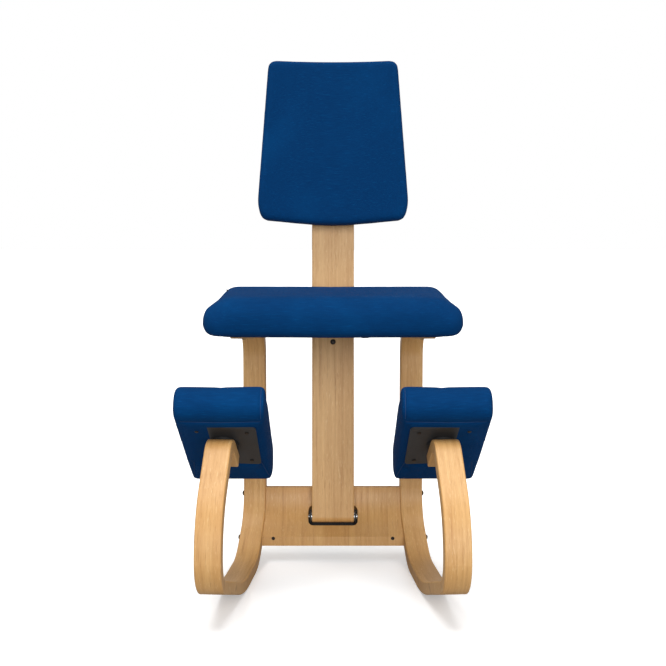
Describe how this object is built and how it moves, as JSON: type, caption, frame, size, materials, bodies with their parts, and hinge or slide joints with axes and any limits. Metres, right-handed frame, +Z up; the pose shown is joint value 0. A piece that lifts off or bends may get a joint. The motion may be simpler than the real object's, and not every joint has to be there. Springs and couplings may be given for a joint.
{
  "type": "kneeling chair",
  "caption": "Kneeling chair on bent wooden rocking runners, with an upholstered seat, two swivelling knee pads and an upright stem carrying a height-adjustable backrest.",
  "frame": {"origin": "centre of the chair's footprint on the floor, under the runners", "axes": "+Z up, -Y towards the knee pads (the sitter faces -Y), +X to the right as seen from the front"},
  "size_m": [0.5928, 0.7085, 1.1043],
  "materials": {
    "oak_ply": "oiled bent lamination, vertical grain",
    "birch_ply": "plain plywood board",
    "fabric": "woven upholstery over foam",
    "tab": "folded woven tape",
    "black_steel": "black powder coat",
    "dark_fastener": "dark bronze plating",
    "bright_steel": "zinc plated",
    "knob": "moulded, fine texture",
    "disc": "moulded nylon"
  },
  "bodies": {
    "frame": {"left_runner": "oak_ply", "right_runner": "oak_ply", "bridge_panel": "oak_ply", "foot_bracket": "black_steel", "foot_screws": "dark_fastener", "pivot_pin": "bright_steel", "pivot_clip": "dark_fastener", "pivot_washers": "bright_steel", "panel_bolts": "dark_fastener", "cross_dowels": "dark_fastener", "seat_fork": "black_steel", "fork_screws": "dark_fastener", "seat_board": "birch_ply", "seat_cushion": "fabric", "tee_nuts": "bright_steel", "arm_bolts": "dark_fastener", "arm_washers": "bright_steel", "side_tab": "tab", "left_swivel_disc": "disc", "left_pad_bolt": "dark_fastener", "left_pad_washer": "bright_steel", "left_pad_nut": "bright_steel", "right_swivel_disc": "disc", "right_pad_bolt": "dark_fastener", "right_pad_washer": "bright_steel", "right_pad_nut": "bright_steel"},
    "stem_unit": {"stem": "oak_ply", "stem_saddle": "black_steel", "saddle_bolts": "dark_fastener", "saddle_nuts": "bright_steel", "clamp_rod": "bright_steel", "clamp_washers": "bright_steel", "clamp_nut": "bright_steel"},
    "tilt_knob": {"tilt_knob": "knob"},
    "backrest": {"back_carrier": "black_steel", "back_board": "birch_ply", "back_cushion": "fabric", "carrier_screws": "dark_fastener", "height_bolt": "dark_fastener", "height_washer": "bright_steel"},
    "height_knob": {"height_knob": "knob"},
    "left_pad": {"left_pad_plate": "black_steel", "left_pad_board": "birch_ply", "left_pad_cushion": "fabric", "left_plate_screws": "dark_fastener"},
    "right_pad": {"right_pad_plate": "black_steel", "right_pad_board": "birch_ply", "right_pad_cushion": "fabric", "right_plate_screws": "dark_fastener"}
  },
  "joints": [
    {"name": "stem_tilt", "type": "hinge", "parent": "frame", "child": "stem_unit", "pos_m": [0, 0.237, 0.092], "axis": [-1, 0, 0], "range_deg": [0, 4]},
    {"name": "tilt_knob_turn", "type": "hinge", "parent": "stem_unit", "child": "tilt_knob", "pos_m": [0.07, 0.3073, 0.50545], "axis": [1, 0, 0], "range_deg": [-180, 180]},
    {"name": "back_height", "type": "slide", "parent": "stem_unit", "child": "backrest", "axis": [0, 0.0872, 0.9962], "range_m": [-0.02, 0.06]},
    {"name": "height_knob_turn", "type": "hinge", "parent": "backrest", "child": "height_knob", "pos_m": [0, 0.33163, 0.88678], "axis": [0, 0.9962, -0.0872], "range_deg": [-180, 180]},
    {"name": "left_pad_swivel", "type": "hinge", "parent": "frame", "child": "left_pad", "pos_m": [-0.2105, -0.15782, 0.32168], "axis": [0.0457, 0.5718, 0.8192], "range_deg": [-8, 8]},
    {"name": "right_pad_swivel", "type": "hinge", "parent": "frame", "child": "right_pad", "pos_m": [0.2105, -0.15782, 0.32168], "axis": [-0.0457, 0.5718, 0.8192], "range_deg": [-8, 8]}
  ]
}
